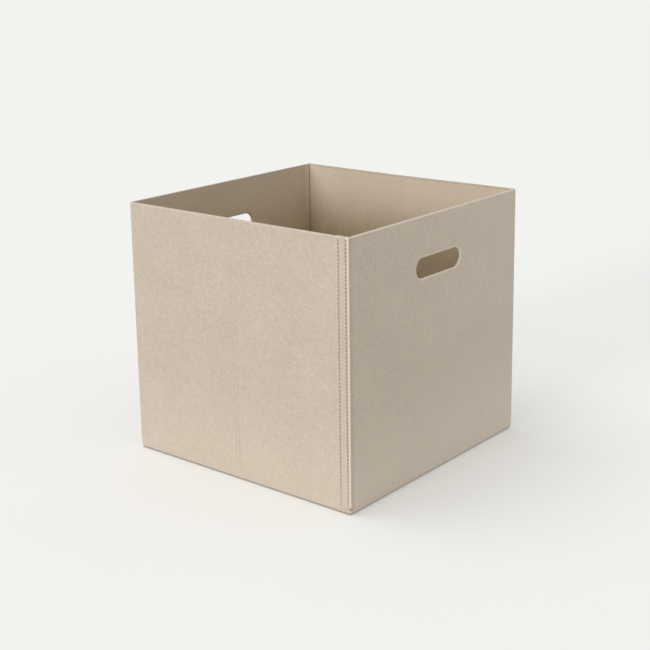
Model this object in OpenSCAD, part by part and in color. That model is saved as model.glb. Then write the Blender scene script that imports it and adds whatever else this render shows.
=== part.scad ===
// Collapsible fabric storage bin: stiff boards in a sewn felt cover, with two
// creased walls that fold inward and a base panel that flips up.
// Origin: centre of the footprint, on the floor. +Z up, handle walls face -X and +X.

/* [Overall] */
// Width across the two handle walls
body_w = 320; // [260:1:400]
// Depth across the two creased walls
body_d = 322; // [260:1:400]
// Height from the floor to the rim
body_h = 300; // [220:1:380]

/* [Walls] */
// Thickness of the stiffening boards
board_t = 2; // [1.5:0.1:3]
// Thickness of the outer felt cover
felt_t = 0.6; // [0.4:0.1:1]
// Thickness of the inner lining
lining_t = 0.6; // [0.4:0.1:1]
// Height of the walls' lower edge above the floor
foot_h = 6; // [5.6:0.2:12]
// Width of the bare cloth between the two boards of a creased wall
crease_w = 3; // [2:0.5:8]
// How far a slack creased wall may bow inward when it is folded
wall_slack = 3.5; // [0:0.5:4]

/* [Hand slots] */
// Clear width of a hand slot
slot_w = 86; // [60:1:130]
// Clear height of a hand slot
slot_h = 24; // [18:1:40]
// Distance from the rim to the top of a hand slot
slot_drop = 46; // [30:1:70]
// Thickness of the cloth turned round a slot's edge
slot_edge_t = 1; // [0.6:0.1:2]

/* [Base panel] */
// Thickness of the base board
base_board_t = 2; // [1.5:0.1:3]
// Thickness of the cloth on each face of the base board
base_felt_t = 0.5; // [0.4:0.1:0.8]
// Gap between the base panel and the walls it isn't sewn to
base_gap = 2; // [1:0.5:5]
// Width of the tab that hinges the base panel
tab_w = 14; // [8:1:30]
// Thickness of the hinge tab
tab_t = 0.5; // [0.4:0.1:0.8]

/* [Bottom cloth] */
// Thickness of the bottom cloth under the base panel
bottom_t = 0.8; // [0.5:0.1:1.2]
// Thickness of the bottom cloth's upturned rim
bottom_rim_t = 1.2; // [0.8:0.1:1.6]
// Corner radius of the bottom cloth in plan
bottom_r = 3; // [2:0.5:8]

/* [Lap seam] */
// Width of the lapped strip beside the corner
strip_w = 16; // [15.5:0.5:30]
// Thickness of the lapped strip
strip_t = 0.8; // [0.5:0.1:1]
// How far the strip stands above the rim
strip_rise = 0.5; // [0:0.1:1]
// Distance from the corner to the outer stitch row
outer_row = 12.5; // [12.5:0.5:15]
// Distance from the corner to the stitch row at the corner
corner_row = 3; // [2:0.5:6]
// Spacing of the stitches
stitch_pitch = 4.1; // [3:0.1:8]
// Length of one stitch
stitch_len = 2.7; // [1.5:0.1:4]
// Width of the thread
thread_w = 0.7; // [0.4:0.1:1.2]
// How far a stitch stands proud
stitch_t = 0.25; // [0.1:0.05:0.4]

/* [Hidden] */
// Gap between cloth on different bodies
gap = 0.4;
// Half the gap at a cloth hinge line
hinge_gap = 0.2;
// Shortest distance between the end of a stitch row and an edge
row_margin = 4;
$fn = 48;

wall_t = felt_t + board_t + lining_t;
half_w = body_w / 2;
half_d = body_d / 2;
base_t = base_board_t + 2 * base_felt_t;
// Gap between the flipped-up base panel's cloth and the left wall
flap_gap = tab_t + stitch_t + gap;
// How far the corner hinge lines are set in from the handle walls' inner faces
hinge_set = flap_gap + base_t + wall_slack + gap;
hinge_x = half_w - wall_t - hinge_set;
slot_z = body_h - slot_drop - slot_h / 2;
board_top = body_h - felt_t;
base_z = bottom_t + gap;
flap_x = -half_w + wall_t + flap_gap;
flap_z = base_z + base_t;
base_start = flap_x + hinge_gap;
base_end = half_w - wall_t - base_gap;
base_half_d = half_d - wall_t - base_gap;

felt_colour = [0.80, 0.74, 0.66];
lining_colour = [0.72, 0.66, 0.55];
board_colour = [0.60, 0.49, 0.36];
thread_colour = [0.66, 0.60, 0.51];

// A box between two opposite corners
module block(lo, hi) {
  translate(lo) cube(hi - lo);
}

// The same shape on either side of the middle plane across X
module on_side(x_side) {
  if (x_side > 0) children();
  else mirror([1, 0, 0]) children();
}

// The same shape at the front or at the back
module at_end(y_side) {
  if (y_side > 0) children();
  else mirror([0, 1, 0]) children();
}

// A round-ended bar through a handle wall, as wide and high as a hand slot plus a border
module slot_bar(border, depth) {
  reach = slot_w / 2 - slot_h / 2;
  radius = slot_h / 2 + border;
  translate([half_w - wall_t / 2 - depth / 2, 0, slot_z]) rotate([90, 0, 90]) {
    for (side = [-1, 1]) translate([side * reach, 0, 0]) cylinder(r = radius, h = depth);
    translate([-reach, -radius, 0]) cube([2 * reach, 2 * radius, depth]);
  }
}

// Cut for a hand slot in one layer of a handle wall
module slot_cut() {
  slot_bar(slot_edge_t, 2 * wall_t);
}

// Handle wall at +X: board, cover with its turned edges, lining and slot edging
module handle_board() {
  color(board_colour) difference() {
    block([half_w - felt_t - board_t, -half_d + felt_t, foot_h],
          [half_w - felt_t, half_d - felt_t, board_top]);
    slot_cut();
  }
}

module handle_cover() {
  color(felt_colour) difference() {
    union() {
      block([half_w - felt_t, -half_d, foot_h], [half_w, half_d, body_h]);
      block([half_w - wall_t, -half_d, board_top], [half_w, half_d, body_h]);
      for (y_side = [-1, 1]) at_end(y_side)
        block([half_w - wall_t, half_d - felt_t, foot_h], [half_w, half_d, body_h]);
    }
    slot_cut();
  }
}

module handle_lining() {
  color(lining_colour) difference() {
    block([half_w - wall_t, -half_d + felt_t, foot_h],
          [half_w - wall_t + lining_t, half_d - felt_t, board_top]);
    slot_cut();
  }
}

module slot_edging() {
  color(felt_colour) difference() {
    slot_bar(slot_edge_t, wall_t);
    slot_bar(0, 2 * wall_t);
  }
}

// Doubled cloth between a handle wall and a creased wall, at the back
module corner_cloth() {
  color(felt_colour)
    block([hinge_x + hinge_gap, half_d - wall_t, foot_h], [half_w - wall_t, half_d, body_h]);
}

// Half of a creased wall at +X, at the back: board, cover and lining
module half_board() {
  color(board_colour)
    block([crease_w / 2, half_d - felt_t - board_t, foot_h],
          [hinge_x - hinge_gap, half_d - felt_t, board_top]);
}

module half_cover() {
  color(felt_colour) union() {
    block([hinge_gap, half_d - felt_t, foot_h], [hinge_x - hinge_gap, half_d, body_h]);
    block([hinge_gap, half_d - wall_t, board_top], [hinge_x - hinge_gap, half_d, body_h]);
  }
}

module half_lining() {
  color(lining_colour)
    block([hinge_gap, half_d - wall_t, foot_h],
          [hinge_x - hinge_gap, half_d - wall_t + lining_t, board_top]);
}

// Bottom cloth: a shallow tray sewn to the walls' lower edges
module bottom_cloth() {
  rim_h = foot_h - gap;
  color(felt_colour) difference() {
    tray_outline(0, 0, rim_h);
    tray_outline(bottom_rim_t, bottom_t, rim_h + bottom_t);
  }
}

// Round-cornered block inset from the footprint
module tray_outline(inset, z_low, z_high) {
  r = bottom_r - inset;
  x = half_w - bottom_r;
  y = half_d - bottom_r;
  translate([0, 0, z_low]) linear_extrude(z_high - z_low) union() {
    for (sx = [-1, 1], sy = [-1, 1]) translate([sx * x, sy * y]) circle(r = r);
    square([2 * (x + r), 2 * y], center = true);
    square([2 * x, 2 * (y + r)], center = true);
  }
}

// Lapped strip of cover cloth: the stretch sewn to the right half of the front wall
module seam_strip() {
  color(felt_colour)
    block([half_w - strip_w, -half_d - strip_t, foot_h],
          [hinge_x - hinge_gap, -half_d, body_h + strip_rise]);
}

// The stretch of the strip that stays with the right handle wall
module seam_strip_fold() {
  color(felt_colour)
    block([hinge_x + hinge_gap, -half_d - strip_t, foot_h],
          [half_w, -half_d, body_h + strip_rise]);
}

// Upright row of separate stitches on the face of the strip
module stitch_row(from_corner) {
  run = body_h - foot_h - 2 * row_margin;
  count = floor((run - stitch_len) / stitch_pitch) + 1;
  start = foot_h + row_margin + (run - stitch_len - (count - 1) * stitch_pitch) / 2;
  color(thread_colour) for (i = [0 : count - 1])
    translate([half_w - from_corner - thread_w / 2, -half_d - strip_t - stitch_t,
               start + i * stitch_pitch])
      cube([thread_w, stitch_t, stitch_len]);
}

// Base panel: a covered board hinged along the left wall's lower edge
module base_layer(z_low, thickness) {
  block([base_start, -base_half_d, z_low], [base_end, base_half_d, z_low + thickness]);
}

module base_under_cover() {
  color(felt_colour) base_layer(base_z, base_felt_t);
}

module base_board() {
  color(board_colour) base_layer(base_z + base_felt_t, base_board_t);
}

module base_top_cover() {
  color(lining_colour) base_layer(base_z + base_felt_t + base_board_t, base_felt_t);
}

module base_hinge_tab() {
  color(lining_colour)
    block([base_start, -base_half_d, flap_z], [base_start + tab_w, base_half_d, flap_z + tab_t]);
}

// Row of stitches that holds the hinge tab on the base panel
module base_tab_stitches() {
  run = 2 * (base_half_d - row_margin);
  count = floor((run - stitch_len) / stitch_pitch) + 1;
  start = -(stitch_len + (count - 1) * stitch_pitch) / 2;
  color(thread_colour) for (i = [0 : count - 1])
    translate([base_start + tab_w - row_margin, start + i * stitch_pitch, flap_z + tab_t])
      cube([thread_w, stitch_len, stitch_t]);
}

// Left handle wall and bottom cloth
on_side(-1) handle_board();  // left_wall_board
on_side(-1) handle_cover();  // left_wall_cover
on_side(-1) handle_lining();  // left_wall_lining
on_side(-1) slot_edging();  // left_slot_edging
on_side(-1) at_end(-1) corner_cloth();  // left_front_corner
on_side(-1) at_end(1) corner_cloth();  // left_back_corner
bottom_cloth();
// Front wall, left half
on_side(-1) at_end(-1) half_board();  // front_left_board
on_side(-1) at_end(-1) half_cover();  // front_left_cover
on_side(-1) at_end(-1) half_lining();  // front_left_lining
// Front wall, right half, with the sewn strip
on_side(1) at_end(-1) half_board();  // front_right_board
on_side(1) at_end(-1) half_cover();  // front_right_cover
on_side(1) at_end(-1) half_lining();  // front_right_lining
seam_strip();
stitch_row(outer_row);  // outer_stitch_row
// Right handle wall
on_side(1) handle_board();  // right_wall_board
on_side(1) handle_cover();  // right_wall_cover
on_side(1) handle_lining();  // right_wall_lining
on_side(1) slot_edging();  // right_slot_edging
on_side(1) at_end(-1) corner_cloth();  // right_front_corner
on_side(1) at_end(1) corner_cloth();  // right_back_corner
seam_strip_fold();
stitch_row(corner_row);  // corner_stitch_row
// Back wall, left and right halves
on_side(-1) at_end(1) half_board();  // back_left_board
on_side(-1) at_end(1) half_cover();  // back_left_cover
on_side(-1) at_end(1) half_lining();  // back_left_lining
on_side(1) at_end(1) half_board();  // back_right_board
on_side(1) at_end(1) half_cover();  // back_right_cover
on_side(1) at_end(1) half_lining();  // back_right_lining
// Base panel
base_board();
base_top_cover();
base_under_cover();
base_hinge_tab();
base_tab_stitches();
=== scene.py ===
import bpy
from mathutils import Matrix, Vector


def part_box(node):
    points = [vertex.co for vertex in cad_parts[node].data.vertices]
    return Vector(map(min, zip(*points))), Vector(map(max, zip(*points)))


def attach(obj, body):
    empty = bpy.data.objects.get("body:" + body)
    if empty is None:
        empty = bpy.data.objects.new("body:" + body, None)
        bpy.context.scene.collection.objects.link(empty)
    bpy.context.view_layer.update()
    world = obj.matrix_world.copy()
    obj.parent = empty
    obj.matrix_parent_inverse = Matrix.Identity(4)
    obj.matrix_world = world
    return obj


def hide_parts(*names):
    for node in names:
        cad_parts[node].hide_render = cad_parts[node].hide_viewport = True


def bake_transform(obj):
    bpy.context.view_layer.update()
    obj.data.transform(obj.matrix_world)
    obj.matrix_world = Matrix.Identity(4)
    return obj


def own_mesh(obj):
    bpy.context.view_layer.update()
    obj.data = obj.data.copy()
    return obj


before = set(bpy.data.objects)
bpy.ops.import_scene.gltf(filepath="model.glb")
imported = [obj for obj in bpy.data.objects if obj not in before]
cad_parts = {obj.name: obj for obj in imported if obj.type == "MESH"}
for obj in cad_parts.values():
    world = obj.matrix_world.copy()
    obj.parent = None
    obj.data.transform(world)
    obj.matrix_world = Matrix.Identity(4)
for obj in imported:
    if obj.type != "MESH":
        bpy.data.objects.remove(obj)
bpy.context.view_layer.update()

import math

import bmesh
import bpy
from mathutils import Matrix, Vector, noise


# ---- Wall boards -----------------------------------------------------------
# Grey-brown boards that stiffen the walls: one in each handle wall, two in each
# creased wall. They are cut square and lie between the felt cover and the lining.
MM = 0.001
foot_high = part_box("bottom_cloth")[1]
cover_low, cover_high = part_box("front_left_cover")
half_w, half_d = foot_high.x, foot_high.y
rim = cover_high.z
foot = cover_low.z
wall_t = cover_high.y - cover_low.y
hinge_x = -cover_low.x + 0.2 * MM
lining_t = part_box("front_left_lining")[1].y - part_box("front_left_lining")[0].y
board_low, board_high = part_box("front_left_board")
board_t = board_high.y - board_low.y
felt_t = board_low.y + half_d
slot_low, slot_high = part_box("left_slot_edging")
slot_z = (slot_low.z + slot_high.z) / 2
slot_r = (slot_high.z - slot_low.z) / 2 - 1 * MM
slot_reach = (slot_high.y - slot_low.y) / 2 - 1 * MM - slot_r

corner_r = 2.2 * MM          # how round the felt turns a wall's upright corner
corner_in_r = 0.3 * MM       # the same on the inside, where it is almost a fold
corner_foot_r = 1.6 * MM     # extra roundness of a corner where it meets the floor
corner_ease = 10 * MM        # stretch of wall that takes up the corner's rounding
wall_wave = 0.32 * MM        # how far a felt-covered wall is from flat
kink = 3.2 * MM              # how far the back wall's crease leans in at the rim
floor_band = 15 * MM         # lowest stretch of a wall, with closer rows of points


def smooth(value):
    value = min(1, max(0, value))
    return value * value * (3 - 2 * value)


def ripple(wall, along, height, edge):
    """The slow unevenness of a wall, none at its upright corners and at the floor."""
    fade = smooth((edge - corner_r - abs(along)) / (35 * MM)) * smooth((height - foot) / (30 * MM))
    place = Vector((along / (62 * MM), height / (74 * MM), wall * 7.3))
    return wall_wave * fade * (noise.noise(place) + 0.3 * noise.noise(place * 3.1))


def corner_radius(depth, height):
    outer = corner_r + corner_foot_r * (1 - smooth(height / (16 * MM)))
    return max(outer - depth, corner_in_r)


def squeeze(along, half, depth, radius):
    """Moves a place along a wall's outer face to where it is at some depth."""
    start, end = half - corner_ease, half - corner_r
    if abs(along) <= start:
        return along
    share = (abs(along) - start) / (end - start)
    return math.copysign(start + share * (half - depth - radius - start), along)


def handle_spot(side, along, turn, depth, height):
    """A point on a handle wall: side -1 or 1, place along Y, turn round its end in degrees."""
    radius = corner_radius(depth, height)
    bend = math.radians(turn)
    out = Vector((side * math.cos(bend), math.copysign(math.sin(bend), along), 0))
    y = squeeze(along, half_d, depth, radius)
    centre = Vector((side * (half_w - depth - radius), y, height))
    return centre + out * (radius + (ripple(side, along, height, half_d) if turn == 0 else 0))


def crease_spot(end, across, depth, height, relief=0):
    """A point on a creased wall: end -1 or 1, place across X."""
    radius = corner_radius(depth, height)
    x = squeeze(across, half_w, depth, radius)
    y = half_d - depth + ripple(2 + end, across, height, half_w) + relief
    if end > 0:
        y -= kink * max(0, 1 - abs(across) / hinge_x) * (height / rim) ** 1.5
    return Vector((x, end * y, height))


def steps(start, end, pitch):
    """Evenly spaced values from start to end, about one pitch apart."""
    count = max(1, round(abs(end - start) / pitch))
    return [start + (end - start) * i / count for i in range(count + 1)]


def joined(*runs):
    """Runs of values put end to end, without the repeated ones."""
    values = list(runs[0])
    for run in runs[1:]:
        values += run[1:]
    return values


def finish_mesh(name, shell, material, sharp=40):
    """Makes the piece from its bmesh, smooth but for edges sharper than an angle."""
    for face in shell.faces:
        face.smooth = True
    for edge in shell.edges:
        edge.smooth = len(edge.link_faces) != 2 or edge.calc_face_angle(0) < math.radians(sharp)
    mesh = bpy.data.meshes.new(name)
    shell.to_mesh(mesh)
    shell.free()
    mesh.materials.append(material)
    piece = bpy.data.objects.new(name, mesh)
    bpy.context.scene.collection.objects.link(piece)
    return piece


def cloth(name, patches, thickness, material, faces="out", sharp=40, middle=None, lids=False):
    """A closed sheet from grids of points, thickened away from the side that is seen.

    faces is out or in from a middle point, or up or down. A lid closes a grid's last row.
    """
    shell = bmesh.new()
    for rows in patches:
        placed = [[shell.verts.new(point) for point in row] for row in rows]
        for near, far in zip(placed, placed[1:]):
            for i in range(len(near) - 1):
                shell.faces.new((near[i], near[i + 1], far[i + 1], far[i]))
        if lids:
            shell.faces.new(placed[-1][:-1])
    bmesh.ops.remove_doubles(shell, verts=shell.verts, dist=0.002 * MM)
    bmesh.ops.recalc_face_normals(shell, faces=shell.faces)
    shell.normal_update()
    middle = middle or Vector((0, 0, rim / 2))
    facing = 0
    for face in shell.faces:
        away = face.calc_center_median() - middle if faces in ("out", "in") else Vector((0, 0, 1))
        facing += face.normal.dot(away) * face.calc_area()
    if (facing > 0) != (faces in ("out", "up")):
        bmesh.ops.reverse_faces(shell, faces=shell.faces)
        shell.normal_update()
    thicken(shell, thickness)
    return finish_mesh(name, shell, material, sharp)


def thicken(shell, thickness):
    """Closes a sheet with a second skin behind the first and a strip round its edges."""
    front = list(shell.faces)
    edges = [edge for edge in shell.edges if len(edge.link_faces) == 1]
    behind = {v: shell.verts.new(v.co - v.normal * thickness) for v in list(shell.verts)}
    ways = []
    for edge in edges:
        loop = edge.link_loops[0]
        ways.append((loop.vert, loop.link_loop_next.vert))
    for face in front:
        shell.faces.new([behind[v] for v in reversed(face.verts)])
    for a, b in ways:
        shell.faces.new((b, a, behind[a], behind[b]))


# Rows of points up a wall's outer face, with the band that holds the hand slot
slot_patch_z = 32 * MM
slot_patch_y = slot_reach + 32 * MM
patch_low, patch_high = slot_z - slot_patch_z, slot_z + slot_patch_z
wall_pitch = 5 * MM
close_pitch = 3 * MM
corner_pitch = 2.4 * MM
patch_pitch = 4.6 * MM
same = 1e-9                  # two places nearer than this are one


def wall_heights(low, high):
    """Heights up a handle wall, with the slot's patch between two of them."""
    return joined(steps(low, low + floor_band, close_pitch),
                  steps(low + floor_band, patch_low, wall_pitch),
                  steps(patch_low, patch_high, patch_pitch),
                  steps(patch_high, high, close_pitch))


def handle_columns():
    """Places along a handle wall, with the slot's patch between two of them."""
    end = half_d - corner_r
    near_end = end - 12 * MM
    return joined(steps(-end, -near_end, corner_pitch),
                  steps(-near_end, -slot_patch_y, wall_pitch),
                  steps(-slot_patch_y, slot_patch_y, patch_pitch),
                  steps(slot_patch_y, near_end, wall_pitch),
                  steps(near_end, end, corner_pitch))


def slot_rings(columns, heights, profile):
    """Rings of (along, height, depth) from the patch's edge in to the slot's outline.

    profile lists how far outside the clear opening each last ring is, and its depth.
    """
    across = [c for c in columns if abs(c) <= slot_patch_y + same]
    up = [h for h in heights if patch_low - same <= h <= patch_high + same]
    edge = [(c, up[0]) for c in across]
    edge += [(across[-1], h) for h in up[1:]]
    edge += [(c, up[-1]) for c in reversed(across[:-1])]
    edge += [(across[0], h) for h in reversed(up[:-1])]
    start = profile[0]
    rings = []
    for share in (0, 0.3, 0.55, 0.75, 0.9):
        rings.append([(c, h, start[1], share, start[0]) for c, h in edge])
    rings += [[(c, h, depth, 1, border) for c, h in edge] for border, depth in profile]
    placed = []
    for ring in rings:
        row = []
        for c, h, depth, share, border in ring:
            core = min(slot_reach, max(-slot_reach, c))
            away = Vector((c - core, h - slot_z)).normalized()
            target = Vector((core, slot_z)) + away * (slot_r + border)
            spot = Vector((c, h)).lerp(target, share)
            row.append((spot.x, spot.y, depth))
        placed.append(row)
    return placed


def slotted(side, depth, heights, columns, profile):
    """Grids of points for one layer of a handle wall, left open at the slot."""
    low = [h for h in heights if h <= patch_low + same]
    middle = [h for h in heights if patch_low - same <= h <= patch_high + same]
    high = [h for h in heights if h >= patch_high - same]
    left = [c for c in columns if c <= -slot_patch_y + same]
    right = [c for c in columns if c >= slot_patch_y - same]
    grids = [(low, columns), (high, columns), (middle, left), (middle, right)]
    patches = []
    for up, across in grids:
        patches.append([[handle_spot(side, c, 0, depth, h) for c in across] for h in up])
    rings = slot_rings(columns, heights, profile)
    patches.append([[handle_spot(side, c, 0, d, h) for c, h, d in ring] for ring in rings])
    return patches


class Signal:
    """A shader value. Arithmetic on it adds Math nodes; make adds any other node."""

    def __init__(self, tree, socket=None):
        self.tree, self.socket = tree, socket

    def make(self, kind, settings=None, sockets=None, out=0):
        node = self.tree.nodes.new(kind)
        for name, value in (settings or {}).items():
            if name == "stops":
                ramp = node.color_ramp.elements
                while len(ramp) < len(value):
                    ramp.new(0.5)
                for element, (place, colour) in zip(ramp, value):
                    element.position, element.color = place, colour
            else:
                setattr(node, name, value)
        for name, value in (sockets or {}).items():
            if isinstance(value, Signal):
                self.tree.links.new(value.socket, node.inputs[name])
            else:
                node.inputs[name].default_value = value
        return Signal(self.tree, node.outputs[out])

    def part(self, number):
        """Another output of the same node."""
        return Signal(self.tree, self.socket.node.outputs[number])

    def maths(self, operation, *values):
        return self.make("ShaderNodeMath", {"operation": operation}, dict(enumerate(values)))

    def most(self, other):
        return self.maths("MAXIMUM", self, other)

    def __add__(self, other):
        return self.maths("ADD", self, other)

    def __radd__(self, other):
        return self.maths("ADD", other, self)

    def __sub__(self, other):
        return self.maths("SUBTRACT", self, other)

    def __rsub__(self, other):
        return self.maths("SUBTRACT", other, self)

    def __mul__(self, other):
        return self.maths("MULTIPLY", self, other)

    def __rmul__(self, other):
        return self.maths("MULTIPLY", other, self)

    def __abs__(self):
        return self.maths("ABSOLUTE", self)

    def rising(self, low, high):
        """0 up to low, 1 from high on, smooth between."""
        settings = {"interpolation_type": "SMOOTHSTEP"}
        sockets = {"Value": self, "From Min": low, "From Max": high}
        return self.make("ShaderNodeMapRange", settings, sockets)

    def mixed(self, other, share, blend="MIX"):
        """This colour with another laid over it by a share."""
        settings = {"data_type": "RGBA", "blend_type": blend}
        return self.make("ShaderNodeMix", settings, {0: share, 6: self, 7: other}, out=2)


def new_surface(name):
    """An empty material with its shader, and the place on the object in millimetres."""
    material = bpy.data.materials.new(name)
    material.use_nodes = True
    tree = material.node_tree
    shader = tree.nodes["Principled BSDF"]
    start = Signal(tree)
    place = start.make("ShaderNodeTexCoord", out=3)
    settings = {"operation": "SCALE"}
    place = start.make("ShaderNodeVectorMath", settings, {0: place, "Scale": 1 / MM})
    return material, shader, place


def cloudy(place, size, detail=3, rough=0.55, stretch=(1, 1, 1)):
    """Noise about 0.5 with patches of a size in millimetres, stretched along an axis."""
    if stretch != (1, 1, 1):
        place = place.make("ShaderNodeVectorMath", {"operation": "MULTIPLY"}, {0: place, 1: stretch})
    sockets = {"Vector": place, "Scale": 1 / size, "Detail": detail, "Roughness": rough}
    return place.make("ShaderNodeTexNoise", {}, sockets)


def greyboard():
    """Rough grey-brown board with long flecks."""
    material, shader, place = new_surface("greyboard")
    fleck = cloudy(place, 1.4, 4, 0.7, (1, 1, 2.5))
    cloud = cloudy(place, 30)
    tone = fleck * 0.7 + cloud * 0.3
    colour = tone.make("ShaderNodeValToRGB", {"stops": [
        (0.3, (0.30, 0.225, 0.15, 1)), (0.7, (0.45, 0.35, 0.245, 1))]}, {"Fac": tone})
    bump = colour.make("ShaderNodeBump", {}, {"Strength": 0.4, "Distance": 0.1 * MM, "Height": fleck})
    material.node_tree.links.new(colour.socket, shader.inputs["Base Color"])
    material.node_tree.links.new(bump.socket, shader.inputs["Normal"])
    shader.inputs["Roughness"].default_value = 0.9
    return material


board_felt_gap = 0.03 * MM   # keeps a board just off the cloth on its two faces
board_pitch = 9 * MM
board_material = greyboard()
board_top = rim - 0.9 * MM
board_depth = felt_t + board_felt_gap
board_sheet = board_t - 2 * board_felt_gap
board_hole = [(1.3 * MM, board_depth)]
board_foot = foot + 0.3 * MM

for side, name in ((-1, "left"), (1, "right")):
    reach = half_d - felt_t - 1 * MM
    columns = joined(steps(-reach, -slot_patch_y, board_pitch),
                     steps(-slot_patch_y, slot_patch_y, board_pitch),
                     steps(slot_patch_y, reach, board_pitch))
    heights = joined(steps(board_foot, patch_low, board_pitch),
                     steps(patch_low, patch_high, board_pitch),
                     steps(patch_high, board_top, board_pitch))
    board = cloth(f"{name}_wall_greyboard", slotted(side, board_depth, heights, columns, board_hole),
                  board_sheet, board_material)
    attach(board, f"{name}_wall")
    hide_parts(f"{name}_wall_board")

for end, end_name in ((-1, "front"), (1, "back")):
    for side, side_name in ((-1, "left"), (1, "right")):
        open_pivot = end > 0 and side > 0
        outer_x = hinge_x - (3.6 * MM if open_pivot else 0.3 * MM)
        across = [side * x for x in steps(1.6 * MM, outer_x, board_pitch)]
        rows = [[crease_spot(end, x, board_depth, h) for x in across]
                for h in steps(board_foot, board_top, board_pitch)]
        board = cloth(f"{end_name}_{side_name}_greyboard", [rows], board_sheet, board_material)
        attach(board, f"{end_name}_{side_name}_half")
        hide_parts(f"{end_name}_{side_name}_board")


# ---- Handle walls' felt cover ------------------------------------------------
# Pressed beige felt, folded over the rim and a little way down the inside. It turns
# both upright corners, and its cut edges are turned in through the hand slot.
rim_r = wall_t / 2
turn_in = 2.2 * MM           # how far the cover comes down inside the rim
slot_lip = 1.2 * MM          # how round the felt turns in at the hand slot


def felt(name, light, dark, paint_light_and_shade):
    """Matte needled felt: cloudy colour, short fibres lying all ways, a fine nap."""
    material, shader, place = new_surface(name)
    cloud = cloudy(place, 55, 2, 0.5)
    patch = cloudy(place, 4.2, 3, 0.65)
    lying = cloudy(place, 1.9, 3, 0.65, (0.3, 0.3, 1.5))
    standing = cloudy(place, 1.9, 3, 0.65, (1.5, 1.5, 0.3))
    fuzz = cloudy(place, 0.6, 3, 0.7)
    fibre = lying * 0.5 + standing * 0.5
    tone = cloud * 0.10 + patch * 0.32 + fibre * 0.42 + fuzz * 0.16
    colour = tone.make("ShaderNodeValToRGB", {"stops": [(0.395, dark), (0.605, light)]}, {"Fac": tone})
    tint = cloudy(place, 26, 3, 0.6).rising(0.42, 0.66)
    colour = colour.mixed((dark[0], dark[1] * 0.985, dark[2] * 1.03, 1), tint * 0.18)
    # Painted light and shade laid over the felt's own colour by the given function.
    colour = paint_light_and_shade(place, colour)
    height = fibre * 0.5 + fuzz * 0.2 + patch * 0.3
    bump = height.make("ShaderNodeBump", {}, {"Strength": 0.6, "Distance": 0.4 * MM, "Height": height})
    rough = fuzz * 0.16 + 0.84
    tree = material.node_tree
    tree.links.new(colour.socket, shader.inputs["Base Color"])
    tree.links.new(bump.socket, shader.inputs["Normal"])
    tree.links.new(rough.socket, shader.inputs["Roughness"])
    shader.inputs["Specular IOR Level"].default_value = 0.15
    shader.inputs["Sheen Weight"].default_value = 0.08
    shader.inputs["Sheen Roughness"].default_value = 0.6
    shader.inputs["Sheen Tint"].default_value = (1.0, 0.94, 0.86, 1)
    return material


def painted_light_and_shade(place, colour):
    """Painted light and shade on the felt.

    A painted highlight along the top of the rim, lighter round the hand slots, and painted
    light towards the floor and, on the right wall, downwards and backwards. Painted shade at
    the creases, in the inside corners and beside the near corner, a painted contact shadow
    along the lower edge, and a painted highlight on a line inside each handle wall near its
    corners.
    """
    split = place.make("ShaderNodeSeparateXYZ", {}, {0: place})
    x, y, z = abs(split), split.part(1), split.part(2)
    from_side, from_end = x - half_w / MM, abs(y) - half_d / MM
    outer_skin = from_side.most(from_end).rising(-2.3, -1.5)
    right_wall = split.rising(half_w / MM - 1.2, half_w / MM - 0.4)
    right_rim = split.rising(half_w / MM - 3.4, half_w / MM - 2.6)
    # Painted highlight along the top of the rim, strongest on the right wall's rim.
    paling = z.rising(rim / MM - 2.1, rim / MM - 0.9) * outer_skin * (0.3 + 0.7 * right_rim)
    beyond = (abs(y) - slot_reach / MM).most(0)
    level = z - slot_z / MM
    squared = beyond * beyond + level * level
    from_slot = squared.maths("POWER", squared, 0.5) - slot_r / MM
    # Lighter in a ring where the felt turns in at each hand slot.
    paling = paling.most((1 - from_slot.rising(0.5, 1.5)) * from_side.rising(-1.9, -0.9))
    # Painted light standing in for light from the floor: lighter towards the floor, and on the right
    # wall more so and towards the back.
    low = 1 - z.rising(-20, 140)
    backward = y.rising(-half_d / MM, half_d / MM)
    painted_fill_light = low * 0.22 + right_wall * (0.03 + low * 0.22 + backward * 0.13)
    colour = colour.mixed(highlight_felt, (paling * 0.8).most(painted_fill_light))
    # Painted shade: darker at the creases, most near the floor, in the inside corners, and on the
    # right wall beside the near corner's lip.
    crease = (1 - abs(x - crease_half / MM).rising(0.2, 0.8)) * z.rising(10, 22)
    inner_side, inner_end = from_side + wall_t / MM, from_end + wall_t / MM
    apart = inner_side * inner_side + inner_end * inner_end
    corner = 1 - apart.rising(0.15, 1.1)
    beside = (1 - (y + half_d / MM).rising(1.5, 9)) * right_wall
    colour = colour.mixed(shade_felt, crease * (0.08 + low * 0.12) + corner * 0.24 + beside * 0.22)
    # Painted contact shadow along the lower edge, where the felt meets the floor.
    contact_shadow = 1 - z.rising(0.9, 3.0)
    colour = colour.mixed(shade_felt, contact_shadow * 0.85)
    # Painted highlight on a line down the inner face of each handle wall, 5.6 mm from its inner
    # corners.
    ridge_highlight = 1 - abs(inner_end + 5.6).rising(0.25, 0.9)
    ridge_highlight = ridge_highlight * (1 - abs(inner_side).rising(0.5, 0.9))
    return colour.mixed(highlight_felt, ridge_highlight * 0.16)


crease_half = 2.6 * MM       # half the width of the soft cloth at a crease
# Lighter felt colour for the painted highlights and painted light, also used round the hand slots and
# along the seam strip's edge.
highlight_felt = (0.78, 0.69, 0.585, 1)
# Colour of the painted shade in creases, corners, needle holes, the notch and along the lower edge.
shade_felt = (0.20, 0.155, 0.105, 1)
cover_light = (0.595, 0.512, 0.424, 1)
cover_dark = (0.477, 0.404, 0.328, 1)
cover_material = felt("cover_felt", cover_light, cover_dark, painted_light_and_shade)


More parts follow.
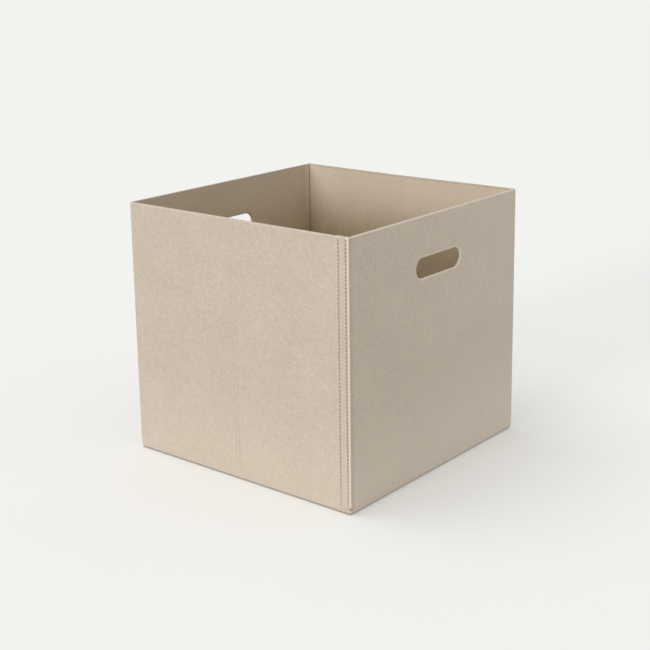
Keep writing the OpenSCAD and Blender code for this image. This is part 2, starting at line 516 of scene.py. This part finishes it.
def over_the_rim():
    """Depth and height up the outside, over the round rim and down inside."""
    arc = [math.radians(a) for a in steps(0, 180, 22.5)]
    return [(rim_r - rim_r * math.cos(a), rim - rim_r + rim_r * math.sin(a)) for a in arc]


outside = [(0, h) for h in wall_heights(foot, rim - rim_r)]
inside = [(wall_t, h) for h in steps(rim - rim_r, rim - turn_in, 0.6 * MM)]
cover_profile = outside[:-1] + over_the_rim() + inside[1:]
lip_turns = [math.radians(a) for a in steps(0, 90, 22.5)]
lip = [(slot_lip * (1 - math.sin(a)), slot_lip * (1 - math.cos(a))) for a in lip_turns]
slot_middle = wall_t / 2
cover_sheet = felt_t * 0.9   # a little under the felt's room, so it touches nothing behind
handle_cut = (2 * half_d - 2 * corner_r + math.pi * corner_r,
              rim - foot - rim_r + math.pi * rim_r + turn_in - rim_r)

for side, name in ((-1, "left"), (1, "right")):
    columns = handle_columns()
    heights = wall_heights(foot, rim - rim_r)
    patches = slotted(side, 0, heights, columns, lip + [(0, slot_middle)])
    upper = over_the_rim() + inside[1:]
    patches.append([[handle_spot(side, c, 0, d, h) for c in columns] for d, h in upper])
    for end in (-1, 1):
        patches.append([[handle_spot(side, end * (half_d - corner_r), turn, d, h)
                         for turn in steps(0, 90, 15)] for d, h in cover_profile])
    cover = cloth(f"{name}_wall_felt", patches, cover_sheet, cover_material)
    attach(cover, f"{name}_wall")
    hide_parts(f"{name}_wall_cover")


# ---- Handle walls' lining ----------------------------------------------------
# The same felt, glued inside each handle wall from the cover's turned edge down to
# the foot. It is turned out through the hand slot to meet the cover.
lining_light = (0.600, 0.493, 0.348, 1)
lining_dark = (0.478, 0.385, 0.260, 1)


def lit_near_rim(place, colour):
    """Lining with the cover's painted light and shade, and painted light near the rim,
    more on the back wall, on its right half and towards its left end.
    """
    split = place.make("ShaderNodeSeparateXYZ", {}, {0: place})
    near_rim = split.part(2).rising(rim / MM - 100, rim / MM - 28)
    back_wall = split.part(1).rising(half_d / MM - 14, half_d / MM - 8)
    right_half = split.rising(-3, 4)
    left_end = 1 - split.rising(-half_w / MM, -half_w / MM + 75)
    # Painted light, strongest just under the rim and on the back wall.
    painted_rim_light = near_rim * (0.32 + back_wall * (0.18 + right_half * 0.06 + left_end * 0.26))
    return painted_light_and_shade(place, colour).mixed(highlight_felt, painted_rim_light)


lining_material = felt("lining_felt", lining_light, lining_dark, lit_near_rim)
butt = 0.05 * MM             # gap where two edges of felt meet
lining_top = rim - turn_in - butt
lining_sheet = lining_t * 0.9

for side, name in ((-1, "left"), (1, "right")):
    columns = handle_columns()
    heights = wall_heights(foot, lining_top)
    inner_lip = [(border, wall_t - depth) for border, depth in lip]
    patches = slotted(side, wall_t, heights, columns, inner_lip + [(0, slot_middle + butt)])
    lining = cloth(f"{name}_wall_lining_felt", patches, lining_sheet, lining_material, faces="in")
    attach(lining, f"{name}_wall")
    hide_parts(f"{name}_wall_lining")


# ---- Hand slot edgings ---------------------------------------------------------
# A narrow band of felt glued round the inside of each hand slot, over the line where
# cover and lining meet. It is slightly rounded and stands a little proud.
edging_crown = 0.35 * MM
edging_half = wall_t / 2 - 0.35 * MM


def filled(ring, count_along):
    """A closed ring of points, with more of them along its long straight stretches."""
    full = []
    for a, b in zip(ring, ring[1:] + ring[:1]):
        count = count_along if (b - a).length > 20 * MM else 1
        full += [a.lerp(b, i / count) for i in range(count)]
    return full + [full[0]]


slot_round = [Vector((slot_reach + slot_r * math.sin(a), slot_r * math.cos(a)))
              for a in map(math.radians, steps(0, 180, 10))]
slot_round += [-point for point in slot_round]

for side, name in ((-1, "left"), (1, "right")):
    rows = []
    for share in steps(-1, 1, 0.25):
        row = []
        for spot in filled(slot_round, 14):
            core = Vector((min(slot_reach, max(-slot_reach, spot.x)), 0))
            spot = core + (spot - core) * (1 - edging_crown * (1 - share ** 4) / slot_r)
            row.append(handle_spot(side, spot.x, 0, wall_t / 2 + edging_half * share, slot_z + spot.y))
        rows.append(row)
    edging = cloth(f"{name}_slot_edging_felt", [rows], 0.4 * MM, cover_material, faces="in",
                   sharp=60, middle=Vector((side * (half_w - wall_t / 2), 0, slot_z)))
    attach(edging, f"{name}_wall")
    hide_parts(f"{name}_slot_edging")


# ---- Creased walls' felt cover -------------------------------------------------
# The cover of the front and back walls, one piece of felt a half. Beside a handle wall it
# is loose for a finger's width, and there it bends when the bin is folded, but the pieces
# here do not bend: all but the back right half's are baked in place and follow no body.
groove = 0.20 * MM           # depth of the line pressed in at each board's edge


def crease_relief(across, height):
    """Two pressed lines with a slight swell between them, flat again near the floor."""
    line = math.exp(-((abs(across) - crease_half) / (0.5 * MM)) ** 2)
    swell = math.exp(-(across / (1.5 * MM)) ** 2)
    return (0.12 * MM * swell - groove * line) * smooth((height - 10 * MM) / (15 * MM))


def half_columns(side, outer):
    """Places across half a creased wall, close together at the crease and the hinge."""
    inner = joined(steps(crease_half, crease_half + 1.8 * MM, 0.3 * MM),
                   steps(crease_half + 1.8 * MM, crease_half + 8 * MM, 2 * MM),
                   steps(crease_half + 8 * MM, hinge_x - 6 * MM, wall_pitch))
    near_hinge = steps(hinge_x - 6 * MM, min(outer, hinge_x + 5 * MM), 0.8 * MM)
    columns = joined(inner, near_hinge)
    if outer > hinge_x + 5 * MM:
        columns = joined(columns, steps(hinge_x + 5 * MM, outer, 1.2 * MM))
    return [side * c for c in columns]


def heights_to(top):
    """Heights up a wall without a hand slot."""
    return joined(steps(foot, foot + floor_band, close_pitch),
                  steps(foot + floor_band, top, wall_pitch))


def wall_profile():
    """Depth and height from the foot up the outside, over the rim and down inside."""
    return [(0, h) for h in heights_to(rim - rim_r)[:-1]] + over_the_rim() + inside[1:]


def bend_at_corner(piece):
    """Bakes the felt's place into its mesh, so that it follows no body."""
    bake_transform(piece)


cut_height = handle_cut[1]

for end, end_name in ((-1, "front"), (1, "back")):
    for side, side_name in ((-1, "left"), (1, "right")):
        open_pivot = end > 0 and side > 0
        outer = hinge_x - butt if open_pivot else half_w - corner_r
        rows = [[crease_spot(end, x, d, h, crease_relief(x, h) if d == 0 else 0)
                 for x in half_columns(side, outer)] for d, h in wall_profile()]
        cover = cloth(f"{end_name}_{side_name}_felt", [rows], cover_sheet, cover_material)
        stands_for = [f"{end_name}_{side_name}_cover"]
        if open_pivot:
            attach(cover, "back_right_half")
        else:
            bend_at_corner(cover)
            stands_for.append(f"{side_name}_{end_name}_corner")
        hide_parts(*stands_for)


# ---- Right back corner ---------------------------------------------------------
# The strip of felt from the right handle wall to the back wall's right half. Its edge
# is rolled round the hinge line, so the corner stays closed when the bin folds.
roll_r = wall_t - felt_t - 0.05 * MM
roll_turns = [math.radians(a) for a in steps(86, 176, 15)]
rolled = [(hinge_x + roll_r * math.cos(a), half_d - wall_t + roll_r * math.sin(a))
          for a in roll_turns]
corner_columns = list(reversed(steps(hinge_x, half_w - corner_r, 1.5 * MM)))
heights = [(d, h) for d, h in wall_profile() if d == 0]
rows = [[crease_spot(1, x, 0, h) for x in corner_columns] + [Vector((x, y, h)) for x, y in rolled]
        for d, h in heights]
cap = [[crease_spot(1, x, d, h) for x in corner_columns] for d, h in over_the_rim() + inside[1:]]
corner = cloth("right_back_corner_felt", [rows, cap], 0.4 * MM, cover_material)
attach(corner, "right_wall")
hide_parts("right_back_corner")


# ---- Creased walls' lining -----------------------------------------------------
# Felt glued inside each half of the front and back walls. Like the cover, it is loose
# beside the handle wall and bends there when the bin is folded, but the pieces here do not
# bend: all but the back right half's are baked in place and follow no body.
inside_relief = 0.7          # share of the cover's pressed lines that shows inside

for end, end_name in ((-1, "front"), (1, "back")):
    for side, side_name in ((-1, "left"), (1, "right")):
        open_pivot = end > 0 and side > 0
        outer = hinge_x - butt if open_pivot else half_w - corner_r
        rows = [[crease_spot(end, x, wall_t, h, -crease_relief(x, h) * inside_relief)
                 for x in half_columns(side, outer)] for h in heights_to(lining_top)]
        lining = cloth(f"{end_name}_{side_name}_lining_felt", [rows], lining_sheet,
                       lining_material, faces="in")
        if open_pivot:
            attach(lining, "back_right_half")
        else:
            bend_at_corner(lining)
        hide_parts(f"{end_name}_{side_name}_lining")

rows = [[crease_spot(1, x, wall_t, h) for x in steps(hinge_x, half_w - corner_r, 1.5 * MM)]
        for h in heights_to(lining_top)]
lining = cloth("right_back_corner_lining", [rows], lining_sheet, lining_material, faces="in")
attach(lining, "right_wall")


# ---- Crease cloth ----------------------------------------------------------------
# The soft felt between the two boards of a creased wall, from the foot up the outside,
# over the rim and down the inside. It is the hinge that the wall folds on.
across = steps(-crease_half, crease_half, 0.4 * MM)
lining_profile = [(wall_t, h) for h in heights_to(lining_top)]
layers = (("crease_felt", wall_profile(), cover_material, "out", "cover_felt"),
          ("crease_lining", lining_profile, lining_material, "in", "lining_felt"))

for end, end_name in ((-1, "front"), (1, "back")):
    for layer_name, profile, layer_material, faces, layer_slot in layers:
        rows = []
        for d, h in profile:
            share = 0
            if d == 0:
                share = 1
            elif faces == "in":
                share = -inside_relief
            rows.append([crease_spot(end, x, d, h, share * crease_relief(x, h)) for x in across])
        crease = cloth(f"{end_name}_{layer_name}", [rows], 0.5 * MM, layer_material, faces=faces)
        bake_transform(crease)
        crease_length = cut_height if faces == "out" else lining_top - foot
        2 * crease_half * crease_length


# ---- Bottom cloth ----------------------------------------------------------------
# One piece of felt under the bin, turned up all round and sewn to the walls' feet. It
# makes the rounded lower edge. It crumples up when the bin is folded, but here it is one
# fixed shape that moves with the left wall.
foot_r = 4.0 * MM            # how round the felt turns up at the floor
tray_top = foot - butt
tray_pitch = 6 * MM


def tray_ring(depth, height):
    """Once round the bin at one depth and height, from the front wall's left end."""
    ring = []
    end = half_d - corner_r
    near_end = half_d - 14 * MM
    along_x = joined(steps(-half_w + corner_r, -hinge_x, corner_pitch),
                     steps(-hinge_x, hinge_x, tray_pitch),
                     steps(hinge_x, half_w - corner_r, corner_pitch))
    along_y = joined(steps(-end, -near_end, corner_pitch),
                     steps(-near_end, near_end, tray_pitch),
                     steps(near_end, end, corner_pitch))
    turns = steps(0, 90, 15)[1:-1]
    ring += [crease_spot(-1, x, depth, height) for x in along_x]
    ring += [handle_spot(1, -end, t, depth, height) for t in reversed(turns)]
    ring += [handle_spot(1, y, 0, depth, height) for y in along_y]
    ring += [handle_spot(1, end, t, depth, height) for t in turns]
    ring += [crease_spot(1, x, depth, height) for x in reversed(along_x)]
    ring += [handle_spot(-1, end, t, depth, height) for t in reversed(turns)]
    ring += [handle_spot(-1, y, 0, depth, height) for y in reversed(along_y)]
    ring += [handle_spot(-1, -end, t, depth, height) for t in turns]
    return ring + [ring[0]]


turned_up = [(0, h) for h in steps(tray_top, foot_r, 0.6 * MM)]
for a in steps(0, 90, 15)[1:]:
    a = math.radians(a)
    turned_up.append((foot_r - foot_r * math.cos(a), foot_r - foot_r * math.sin(a)))
tray_rings = [tray_ring(d, h) for d, h in turned_up]
floor_ring = tray_rings[-1]
for share in (0.985, 0.95, 0.85, 0.65, 0.45, 0.25, 0.1):
    tray_rings.append([Vector((p.x * share, p.y * share, 0)) for p in floor_ring])
bottom = cloth("bottom_felt", [tray_rings], 0.8 * MM, cover_material, faces="down", sharp=50,
               lids=True)
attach(bottom, "left_wall")
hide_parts("bottom_cloth")
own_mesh(bottom)


# ---- Lapped seam -----------------------------------------------------------------
# Where the cover's two ends meet: the right wall's felt laps over the front wall, sewn
# down in one row, and a second row beside the corner leaves a raised, wavy lip.
strip_low, strip_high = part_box("seam_strip")
strip_left = strip_low.x
strip_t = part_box("front_right_cover")[0].y - strip_low.y
row_boxes = [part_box("outer_stitch_row"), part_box("corner_stitch_row")]
row_x = [(low.x + high.x) / 2 for low, high in row_boxes]
row_start, row_end = row_boxes[0][0].z, row_boxes[0][1].z
stitch_pitch = 4.1 * MM
stitch_len = 2.7 * MM
corner_x = half_w - corner_r
lip_rise = 0.8 * MM
lip_crest = 1.5 * MM         # round the corner from the front wall's end
lip_end = 3.0 * MM
dent_line = 0.16             # depth in mm of the line a row of stitches pulls in
dent_hole = 0.55             # further depth in mm at a needle hole
corner_arc = math.pi / 2 * corner_r


def seam_place(q):
    """The place on the walls at q metres of cloth past the front wall's end."""
    if q <= 0:
        return ("front", corner_x + q, 0)
    if q < corner_arc:
        return ("turn", -(half_d - corner_r), 90 - 90 * q / corner_arc)
    return ("side", -(half_d - corner_r) + (q - corner_arc), 0)


def seam_height(q, z):
    """How far the strip stands off the wall under it."""
    x = corner_x + q
    left = smooth((x - strip_left) / (0.7 * MM)) ** 0.5
    right = smooth((lip_end - q) / (0.9 * MM)) ** 0.5
    waver = noise.noise(Vector((z / (17 * MM), 3.1, 0.7)))
    waver += 0.5 * noise.noise(Vector((z / (6 * MM), 1.9, 4)))
    sway = 0.3 * MM * noise.noise(Vector((z / (13 * MM), 7.7, 2.3)))
    crest = math.exp(-((q - lip_crest - sway) / (0.75 * MM)) ** 2)
    valley = math.exp(-((q + 0.3 * MM) / (0.8 * MM)) ** 2)
    low = smooth((z - foot) / (14 * MM))
    rise = strip_t + (lip_rise * crest * (1 + 0.85 * waver) - 0.25 * MM * valley) * low
    step = ((z - row_start + (stitch_pitch - stitch_len) / 2) % stitch_pitch) / stitch_pitch
    hole = math.exp(-(min(step, 1 - step) * stitch_pitch / (0.75 * MM)) ** 2)
    row_fade = 2 * MM
    hole *= smooth((z - row_start + row_fade) / row_fade)
    hole *= smooth((row_end + row_fade - z) / row_fade)
    for centre in row_x:
        dent = math.exp(-((x - centre) / (0.85 * MM)) ** 2)
        rise -= dent * (dent_line + dent_hole * hole) * MM
    if q > -2.6 * MM:
        rise *= smooth((z - foot - 0.1 * MM) / (3.2 * MM))
    return max(0.0, rise) * left * right


left_q = strip_left - corner_x
row_q = [centre - corner_x for centre in row_x]
row_half = 1.4 * MM
strip_q = joined(steps(left_q, left_q + 0.8 * MM, 0.2 * MM),
                 steps(left_q + 0.8 * MM, row_q[0] - row_half, 0.5 * MM),
                 steps(row_q[0] - row_half, row_q[0] + row_half, 0.35 * MM),
                 steps(row_q[0] + row_half, row_q[1] - row_half, 0.7 * MM),
                 steps(row_q[1] - row_half, row_q[1] + row_half, 0.35 * MM),
                 steps(row_q[1] + row_half, lip_end, 0.22 * MM))


def seam_point(q, depth, height):
    """A point of the strip; a negative depth stands off the wall's outer face."""
    wall, along, turn = seam_place(q)
    if wall == "front":
        return crease_spot(-1, along, depth, height)
    return handle_spot(1, along, turn, depth, height)


strip_rows = []
for z in steps(foot, rim - rim_r, stitch_pitch / 8):
    strip_rows.append([seam_point(q, -seam_height(q, z), z) for q in strip_q])
for a in steps(0, 180, 15)[1:]:
    a = math.radians(a)
    row = []
    for q in strip_q:
        lift = min(seam_height(q, rim), 0.9 * MM)
        depth = rim_r - rim_r * math.cos(a) - lift * math.cos(a)
        height = rim - rim_r + rim_r * math.sin(a) + lift * math.sin(a) * 0.8
        row.append(seam_point(q, depth, height))
    strip_rows.append(row)


def stitched(place, colour):
    """Felt with the cover's painted light and shade, and painted shade in each needle hole
    and along the thread, weaker near the foot. A painted highlight on the lip, lighter along
    the strip's left edge, and painted shade in the notch at the lip's foot.
    """
    colour = painted_light_and_shade(place, colour)
    x = place.make("ShaderNodeSeparateXYZ", {}, {0: place})
    z = x.part(2)
    rows = [1 - abs(x - centre / MM).rising(0.45, 1.25) for centre in row_x]
    beside = rows[0].most(rows[1])
    start = (row_start - (stitch_pitch - stitch_len) / 2) / MM
    pitch = stitch_pitch / MM
    step = (z - start).maths("FLOORED_MODULO", z - start, pitch)
    hole = 1 - (pitch / 2 - abs(step - pitch / 2)).rising(0.45, 1.3)
    within = (z - row_start / MM + 3).rising(0, 3) * (row_end / MM + 3 - z).rising(0, 3)
    # The painted shade of the stitch rows is weaker towards the foot.
    paling = 0.75 - z.rising(14, 62) * 0.75
    # Painted shade in each needle hole and along the thread's dent.
    dark = beside * within * (hole * 0.70 + 0.12) * (1 - paling * 0.9)
    colour = colour.mixed(shade_felt, dark)
    wall_end, low_end = half_w / MM, foot / MM
    # Painted highlight on the lip; lighter along the strip's left edge.
    lip = x.rising(wall_end - 1.5, wall_end - 0.7) * z.rising(low_end + 0.5, low_end + 7)
    edge = 1 - (x - strip_left / MM).rising(0.5, 1.3)
    # Painted shade in the notch at the lip's foot.
    notch = x.rising(wall_end - 3.2, wall_end - 2) * (1 - z.rising(low_end + 1.2, low_end + 2.6))
    return colour.mixed(highlight_felt, lip * 0.7 + edge * 0.3).mixed(shade_felt, notch * 0.7)


seam_material = felt("seam_felt", cover_light, cover_dark, stitched)
strip = cloth("seam_strip_felt", [strip_rows], 0.3 * MM, seam_material, sharp=70)
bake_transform(strip)
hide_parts("seam_strip", "seam_strip_fold")


# ---- Seam stitches ---------------------------------------------------------------
# Spun thread in two rows of even stitches through the strip. Each stitch lies in its
# dent between two needle holes, and its ends dive into them.
def thread():
    """Pale spun thread with a fine twist."""
    material, shader, place = new_surface("sewing_thread")
    twist = cloudy(place, 0.5, 2, 0.5, (1, 1, 2.5))
    colour = twist.make("ShaderNodeValToRGB", {"stops": [
        (0.35, (0.45, 0.38, 0.30, 1)), (0.65, (0.56, 0.48, 0.385, 1))]}, {"Fac": twist})
    bump = twist.make("ShaderNodeBump", {}, {"Strength": 0.5, "Distance": 0.1 * MM, "Height": twist})
    material.node_tree.links.new(colour.socket, shader.inputs["Base Color"])
    material.node_tree.links.new(bump.socket, shader.inputs["Normal"])
    shader.inputs["Roughness"].default_value = 0.75
    return material


thread_material = thread()
thread_r = 0.32 * MM


def add_stitch(shell, start, end, out, sunk):
    """A short curved length of thread: highest in the middle, its ends sunk in holes."""
    rings, sides = 7, 6
    direction = (end - start).normalized()
    beside = direction.cross(out).normalized()
    placed = []
    for i in range(rings):
        share = i / (rings - 1)
        bow = 1 - (2 * share - 1) ** 2
        centre = start.lerp(end, share) + out * (bow * sunk - sunk)
        radius = thread_r * (0.55 + 0.45 * bow ** 0.5)
        ring = []
        for k in range(sides):
            turn = 2 * math.pi * k / sides
            around = beside * math.cos(turn) + out * math.sin(turn)
            ring.append(shell.verts.new(centre + radius * around))
        placed.append(ring)
    for near, far in zip(placed, placed[1:]):
        for k in range(sides):
            j = (k + 1) % sides
            shell.faces.new((near[k], near[j], far[j], far[k]))
    shell.faces.new(list(reversed(placed[0])))
    shell.faces.new(placed[-1])


def close_out(shell):
    """Turns all the threads' faces outwards."""
    bmesh.ops.recalc_face_normals(shell, faces=shell.faces)
    shell.normal_update()


for name, body, centre in (("outer_stitch", "front_right_half", row_x[0]),
                           ("corner_stitch", "right_wall", row_x[1])):
    shell = bmesh.new()
    count = round((row_end - row_start - stitch_len) / stitch_pitch) + 1
    hole_gap = (stitch_pitch - stitch_len) / 2 - 0.3 * MM
    for i in range(count):
        low = row_start + i * stitch_pitch - hole_gap
        high = low + stitch_len + 2 * hole_gap
        middle = (low + high) / 2
        lift = seam_height(centre - corner_x, middle) + 0.12 * MM
        ends = [crease_spot(-1, centre, -lift, z) for z in (low, high)]
        add_stitch(shell, ends[0], ends[1], Vector((0, -1, 0)), 0.5 * MM)
    close_out(shell)
    row = finish_mesh(f"{name}_thread", shell, thread_material, sharp=80)
    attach(row, body)
    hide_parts(f"{name}_row")


# ---- Base panel ------------------------------------------------------------------
# A board in felt on both faces, lying in the bottom to hold the walls apart. The two
# sheets are glued round its edge, and a tab hinges it to the left wall.
panel_low, panel_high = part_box("base_under_cover")[0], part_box("base_top_cover")[1]
panel_middle = (panel_low + panel_high) / 2
panel_half = (panel_high - panel_low) / 2
panel_corner = 4 * MM


def panel_ring(inset, height):
    """Once round the panel with round corners, some way in from its edge."""
    ring = []
    reach = panel_half - Vector((inset + panel_corner, inset + panel_corner, 0))
    for turn, (sx, sy) in zip((0, 90, 180, 270), ((1, 1), (-1, 1), (-1, -1), (1, -1))):
        for a in map(math.radians, steps(turn, turn + 90, 18)):
            x = panel_middle.x + sx * reach.x + panel_corner * math.cos(a)
            y = panel_middle.y + sy * reach.y + panel_corner * math.sin(a)
            ring.append(Vector((x, y, height)))
    return filled(ring, 50)


def panel_rings(inset_heights):
    """Rings round the panel's edge, then in over its flat face to the middle."""
    rings = [panel_ring(inset, height) for inset, height in inset_heights]
    flat = rings[-1]
    middle = Vector((panel_middle.x, panel_middle.y, flat[0].z))
    for share in (0.97, 0.85, 0.65, 0.45, 0.25, 0.08):
        rings.append([middle.lerp(p, share) for p in flat])
    return rings


edge_turns = [math.radians(a) for a in steps(2, 90, 22)]
for name, upward, node in (("base_top_felt", 1, "base_top_cover"),
                           ("base_under_felt", -1, "base_under_cover")):
    edge = []
    for a in edge_turns:
        height = panel_middle.z + upward * panel_half.z * math.sin(a)
        edge.append((panel_half.z * (1 - math.cos(a)), height))
    panel_felt = cloth(name, [panel_rings(edge)], 0.45 * MM, lining_material,
                       faces="up" if upward > 0 else "down", sharp=50, lids=True)
    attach(panel_felt, "base_flap")
    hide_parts(node)

base_sheet = 1.94 * MM
base_rings = panel_rings([(1.3 * MM, panel_middle.z + base_sheet / 2)])
base_board = cloth("base_greyboard", [base_rings], base_sheet, board_material, faces="up",
                   lids=True)
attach(base_board, "base_flap")
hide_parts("base_board")


# ---- Base panel's hinge tab -------------------------------------------------------
# A strip of felt sewn along the left edge of the base panel and glued up the left
# wall's lining, so the panel swings up flat against that wall.
tab_low, tab_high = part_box("base_hinge_tab")
tab_y = tab_high.y - 3 * MM
wall_x = -half_w + wall_t + 0.12 * MM
tab_top = 16 * MM
tab_z = tab_high.z + 0.1 * MM
bend_r = 1.0 * MM
path = [(wall_x, z) for z in steps(tab_top, tab_high.z + 1.5 * MM, 1.5 * MM)]
for a in steps(0, 90, 18)[1:]:
    a = math.radians(a)
    x = wall_x + bend_r - bend_r * math.cos(a)
    path.append((x, tab_high.z + bend_r + 0.1 * MM - bend_r * math.sin(a)))
path += [(x, tab_z) for x in steps(wall_x + bend_r, tab_high.x, 1 * MM)[1:]]
rows = [[Vector((x, y, z)) for x, z in path] for y in steps(-tab_y, tab_y, 5 * MM)]
tab = cloth("base_hinge_tab_felt", [rows], 0.4 * MM, lining_material, faces="in")
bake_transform(tab)
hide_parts("base_hinge_tab")

stitch_over = 0.3 * MM       # how far a stitch reaches past its length into each hole
stitch_low, stitch_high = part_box("base_tab_stitches")
shell = bmesh.new()
stitch_x = (stitch_low.x + stitch_high.x) / 2
count = round((stitch_high.y - stitch_low.y - stitch_len) / stitch_pitch) + 1
for i in range(count):
    y = stitch_low.y + i * stitch_pitch
    start = Vector((stitch_x, y - stitch_over, tab_high.z + 0.12 * MM))
    end = Vector((stitch_x, y + stitch_len + stitch_over, tab_high.z + 0.12 * MM))
    add_stitch(shell, start, end, Vector((0, 0, 1)), 0.35 * MM)
close_out(shell)
tab_row = finish_mesh("base_tab_thread", shell, thread_material, sharp=80)
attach(tab_row, "base_flap")
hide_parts("base_tab_stitches")


# ---- Studio ----------------------------------------------------------------------
# A seamless pale floor that glows faintly, soft daylight from the front and from above,
# and the camera a little above the rim, looking at the near corner.
floor_half = 30.0            # metres, so the floor's far edge is never seen
floor_mesh = bpy.data.meshes.new("studio_floor")
floor_mesh.from_pydata([(-floor_half, -floor_half, 0), (floor_half, -floor_half, 0),
                        (floor_half, floor_half, 0), (-floor_half, floor_half, 0)], [], [(0, 1, 2, 3)])
floor = bpy.data.objects.new("studio_floor", floor_mesh)
bpy.context.scene.collection.objects.link(floor)
floor_surface, floor_shader, floor_place = new_surface("studio_floor")
floor_tone = cloudy(floor_place, 300, 2)
floor_colour = floor_tone.make("ShaderNodeValToRGB", {"stops": [
    (0.3, (0.820, 0.828, 0.812, 1)), (0.7, (0.825, 0.833, 0.817, 1))]}, {"Fac": floor_tone})
floor_surface.node_tree.links.new(floor_colour.socket, floor_shader.inputs["Base Color"])
floor_shader.inputs["Roughness"].default_value = 1.0
floor_shader.inputs["Emission Color"].default_value = (1.0, 0.985, 0.99, 1)
floor_shader.inputs["Emission Strength"].default_value = 0.148
floor_shader.inputs["Specular IOR Level"].default_value = 0.0
floor_mesh.materials.append(floor_surface)

world = bpy.data.worlds.new("studio")
world.use_nodes = True
world.node_tree.nodes["Background"].inputs["Color"].default_value = (1.0, 0.995, 0.985, 1)
world.node_tree.nodes["Background"].inputs["Strength"].default_value = 0.675
bpy.context.scene.world = world

for light_name, energy, spread, tint, light_from in (
        ("window_light", 0.99, 17, (1.0, 0.985, 0.96), (-0.05, -0.93, 0.19)),
        ("overhead_light", 0.60, 42, (1.0, 0.99, 0.97), (-0.40, -0.22, 0.86))):
    light = bpy.data.lights.new(light_name, "SUN")
    light.energy = energy
    light.angle = math.radians(spread)
    light.color = tint
    light_piece = bpy.data.objects.new(light_name, light)
    light_piece.rotation_mode = "QUATERNION"
    light_piece.rotation_quaternion = Vector(light_from).to_track_quat("Z", "Y")
    bpy.context.scene.collection.objects.link(light_piece)

azimuth = math.radians(39.406)
elevation = math.radians(13.276)
roll = math.radians(-0.852)
distance = 1.54645
aim_right = -0.00291         # how far the camera stands right of and above the bin's middle
aim_up = 0.08535
back = Vector((math.sin(azimuth) * math.cos(elevation),
               -math.cos(azimuth) * math.cos(elevation),
               math.sin(elevation)))
right = Vector((0, 0, 1)).cross(back).normalized()
up = back.cross(right)
level_right = right.copy()
right = right * math.cos(roll) + up * math.sin(roll)
up = up * math.cos(roll) - level_right * math.sin(roll)
camera = bpy.data.cameras.new("camera")
camera.sensor_width = 36
camera.lens = 71.78
camera.shift_y = -0.12
camera.clip_end = 200
camera_piece = bpy.data.objects.new("camera", camera)
place = Vector((0, 0, rim / 2)) + back * distance + right * aim_right + up * aim_up
camera_piece.matrix_world = Matrix((right, up, back)).transposed().to_4x4()
camera_piece.location = place
bpy.context.scene.collection.objects.link(camera_piece)
bpy.context.scene.camera = camera_piece
bpy.context.scene.view_settings.view_transform = "Standard"
